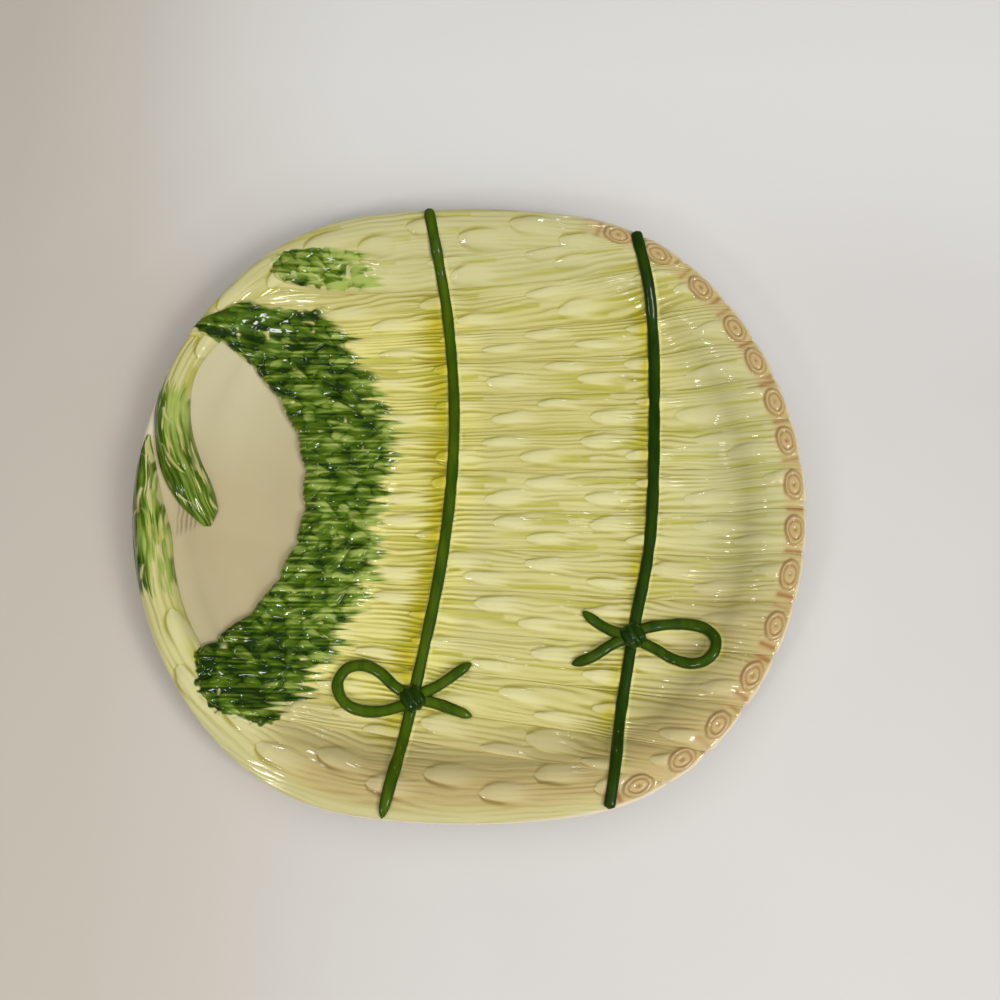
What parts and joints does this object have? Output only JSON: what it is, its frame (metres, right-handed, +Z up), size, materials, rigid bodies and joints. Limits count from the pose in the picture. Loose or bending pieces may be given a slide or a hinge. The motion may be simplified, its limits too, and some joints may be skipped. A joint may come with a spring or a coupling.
{
  "type": "asparagus plate",
  "caption": "Oval glazed earthenware plate moulded as a tied bundle of asparagus, with a sauce well at the heads and cut ends along the rim.",
  "frame": {"origin": "centre of the plate on the table, under the foot ring", "axes": "+X along the bundle from the heads to the cut ends, +Z up"},
  "size_m": [0.265, 0.247, 0.0294],
  "materials": {
    "cream_glaze": "glossy cream glaze",
    "foot_glaze": "glazed foot with a bare ring where it stands",
    "stalk_glaze": "glossy glaze brushed pale yellow green, dark green on the heads",
    "green_glaze": "glossy dark green glaze"
  },
  "bodies": {
    "root": {"plate_body": "cream_glaze", "foot_ring": "foot_glaze", "spear_01": "stalk_glaze", "spear_02": "stalk_glaze", "spear_03": "stalk_glaze", "spear_04": "stalk_glaze", "spear_05": "stalk_glaze", "spear_06": "stalk_glaze", "spear_07": "stalk_glaze", "spear_08": "stalk_glaze", "spear_09": "stalk_glaze", "spear_10": "stalk_glaze", "spear_11": "stalk_glaze", "spear_12": "stalk_glaze", "spear_13": "stalk_glaze", "spear_14": "stalk_glaze", "spear_15": "stalk_glaze", "tie_left": "green_glaze", "tie_right": "green_glaze", "bow_left_loop": "green_glaze", "bow_left_knot": "green_glaze", "bow_left_tail_upper": "green_glaze", "bow_left_tail_lower": "green_glaze", "bow_right_loop": "green_glaze", "bow_right_knot": "green_glaze", "bow_right_tail_upper": "green_glaze", "bow_right_tail_lower": "green_glaze"}
  },
  "joints": []
}
